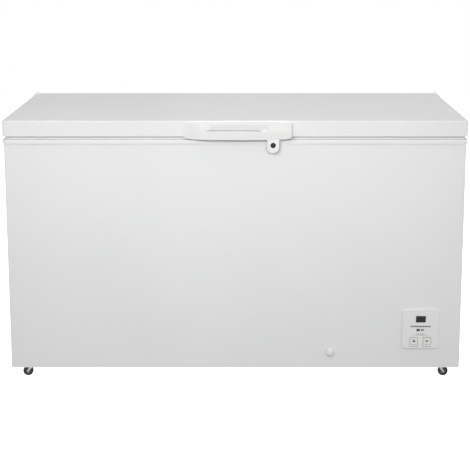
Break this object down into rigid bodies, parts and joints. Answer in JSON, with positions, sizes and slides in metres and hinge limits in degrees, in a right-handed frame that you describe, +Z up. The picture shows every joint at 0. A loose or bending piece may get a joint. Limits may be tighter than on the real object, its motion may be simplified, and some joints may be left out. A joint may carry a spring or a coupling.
{
  "type": "chest freezer",
  "caption": "White chest freezer: hinged foam lid with front grip and lock tab, stepped lined tub, hanging basket, control panel, pull-out drain and swivel casters.",
  "frame": {"origin": "on the floor, under the middle of the whole object's box", "axes": "+X along the length, to the right seen from the front; -Y towards the front; +Z up"},
  "size_m": [1.455, 0.74, 0.855],
  "materials": {
    "white_enamel": "gloss",
    "white_plastic": "satin",
    "seal_rubber": "matte",
    "black_plastic": "satin",
    "wheel_plastic": "satin",
    "black_enamel": "gloss",
    "dark_window": "gloss",
    "embossed_aluminium": "satin",
    "bare_aluminium": "satin",
    "galvanised_steel": "satin",
    "bright_steel": "polished",
    "copper": "satin",
    "foam": "matte",
    "board": "satin",
    "coated_wire": "gloss"
  },
  "bodies": {
    "cabinet": {"outer_shell": "white_enamel", "back_panel": "galvanised_steel", "base_pan": "galvanised_steel", "cabinet_foam": "foam", "inner_liner": "embossed_aluminium", "rim_collar": "white_plastic", "machine_bulkhead": "galvanised_steel", "side_grille": "white_plastic", "rear_cover": "galvanised_steel", "cord_gland": "black_plastic", "compressor_tray": "galvanised_steel", "compressor_feet": "black_enamel", "compressor_shell": "black_enamel", "terminal_cover": "black_plastic", "drier_filter": "copper", "suction_pipe": "copper", "discharge_pipe": "copper", "condenser_coil": "copper", "evaporator_coil": "bare_aluminium", "control_box": "white_plastic", "control_fascia": "white_plastic", "display_window": "dark_window", "control_board": "board", "drain_tube": "white_plastic", "lock_striker": "bright_steel", "hinge_bracket_left": "bright_steel", "hinge_spring_left": "bright_steel", "hinge_bracket_right": "bright_steel", "hinge_spring_right": "bright_steel", "caster_plate_front_left": "galvanised_steel", "caster_plate_front_right": "galvanised_steel", "caster_plate_rear_left": "galvanised_steel", "caster_plate_rear_right": "galvanised_steel"},
    "lid": {"lid_skin": "white_enamel", "lid_foam": "foam", "lid_liner": "white_plastic", "lid_gasket": "seal_rubber", "lid_handle": "white_plastic", "lock_sleeve": "black_plastic", "hinge_leaf_left": "bright_steel", "hinge_leaf_right": "bright_steel", "lid_bumper_left": "white_plastic", "lid_bumper_right": "white_plastic"},
    "lock": {"lock_cylinder": "bright_steel"},
    "key_left": {"button_left": "white_plastic"},
    "key_right": {"button_right": "white_plastic"},
    "drain_plug": {"drain_plug": "seal_rubber"},
    "drain_spout": {"drain_spout": "white_plastic"},
    "drain_dial": {"drain_dial": "white_plastic"},
    "basket": {"storage_basket": "coated_wire"},
    "fork_front_left": {"caster_fork_front_left": "galvanised_steel"},
    "wheel_front_left": {"caster_wheel_front_left": "wheel_plastic"},
    "fork_front_right": {"caster_fork_front_right": "galvanised_steel"},
    "wheel_front_right": {"caster_wheel_front_right": "wheel_plastic"},
    "fork_rear_left": {"caster_fork_rear_left": "galvanised_steel"},
    "wheel_rear_left": {"caster_wheel_rear_left": "wheel_plastic"},
    "fork_rear_right": {"caster_fork_rear_right": "galvanised_steel"},
    "wheel_rear_right": {"caster_wheel_rear_right": "wheel_plastic"}
  },
  "joints": [
    {"name": "lid_hinge", "type": "hinge", "parent": "cabinet", "child": "lid", "pos_m": [0, 0.3585, 0.797], "axis": [-1, 0, 0], "range_deg": [0, 80], "deforming": ["hinge_spring_left", "hinge_spring_right"]},
    {"name": "lock_turn", "type": "hinge", "parent": "lid", "child": "lock", "pos_m": [0.1186, -0.37, 0.7754], "axis": [0, 1, 0], "range_deg": [0, 90]},
    {"name": "key_left_travel", "type": "slide", "parent": "cabinet", "child": "key_left", "axis": [0, 1, 0], "range_m": [0, 0.0012], "stiffness_N_per_m": 500},
    {"name": "key_right_travel", "type": "slide", "parent": "cabinet", "child": "key_right", "axis": [0, 1, 0], "range_m": [0, 0.0012], "stiffness_N_per_m": 500},
    {"name": "drain_plug_lift", "type": "slide", "parent": "cabinet", "child": "drain_plug", "axis": [0, 0, 1], "range_m": [0, 0.04]},
    {"name": "drain_spout_slide", "type": "slide", "parent": "cabinet", "child": "drain_spout", "axis": [0, -1, 0], "range_m": [0, 0.02]},
    {"name": "drain_dial_turn", "type": "hinge", "parent": "drain_spout", "child": "drain_dial", "pos_m": [0.304, -0.353, 0.097], "axis": [0, 1, 0], "range_deg": [0, 180]},
    {"name": "basket_slide", "type": "slide", "parent": "cabinet", "child": "basket", "axis": [-1, 0, 0], "range_m": [0, 1.01]},
    {"name": "swivel_front_left", "type": "hinge", "parent": "cabinet", "child": "fork_front_left", "pos_m": [-0.667, -0.291, 0.04], "axis": [0, 0, 1], "continuous": true},
    {"name": "spin_front_left", "type": "hinge", "parent": "fork_front_left", "child": "wheel_front_left", "pos_m": [-0.679, -0.291, 0.0165], "axis": [0, 1, 0], "continuous": true},
    {"name": "swivel_front_right", "type": "hinge", "parent": "cabinet", "child": "fork_front_right", "pos_m": [0.667, -0.291, 0.04], "axis": [0, 0, 1], "continuous": true},
    {"name": "spin_front_right", "type": "hinge", "parent": "fork_front_right", "child": "wheel_front_right", "pos_m": [0.679, -0.291, 0.0165], "axis": [0, 1, 0], "continuous": true},
    {"name": "swivel_rear_left", "type": "hinge", "parent": "cabinet", "child": "fork_rear_left", "pos_m": [-0.667, 0.291, 0.04], "axis": [0, 0, 1], "continuous": true},
    {"name": "spin_rear_left", "type": "hinge", "parent": "fork_rear_left", "child": "wheel_rear_left", "pos_m": [-0.679, 0.291, 0.0165], "axis": [0, 1, 0], "continuous": true},
    {"name": "swivel_rear_right", "type": "hinge", "parent": "cabinet", "child": "fork_rear_right", "pos_m": [0.667, 0.291, 0.04], "axis": [0, 0, 1], "continuous": true},
    {"name": "spin_rear_right", "type": "hinge", "parent": "fork_rear_right", "child": "wheel_rear_right", "pos_m": [0.679, 0.291, 0.0165], "axis": [0, 1, 0], "continuous": true}
  ]
}
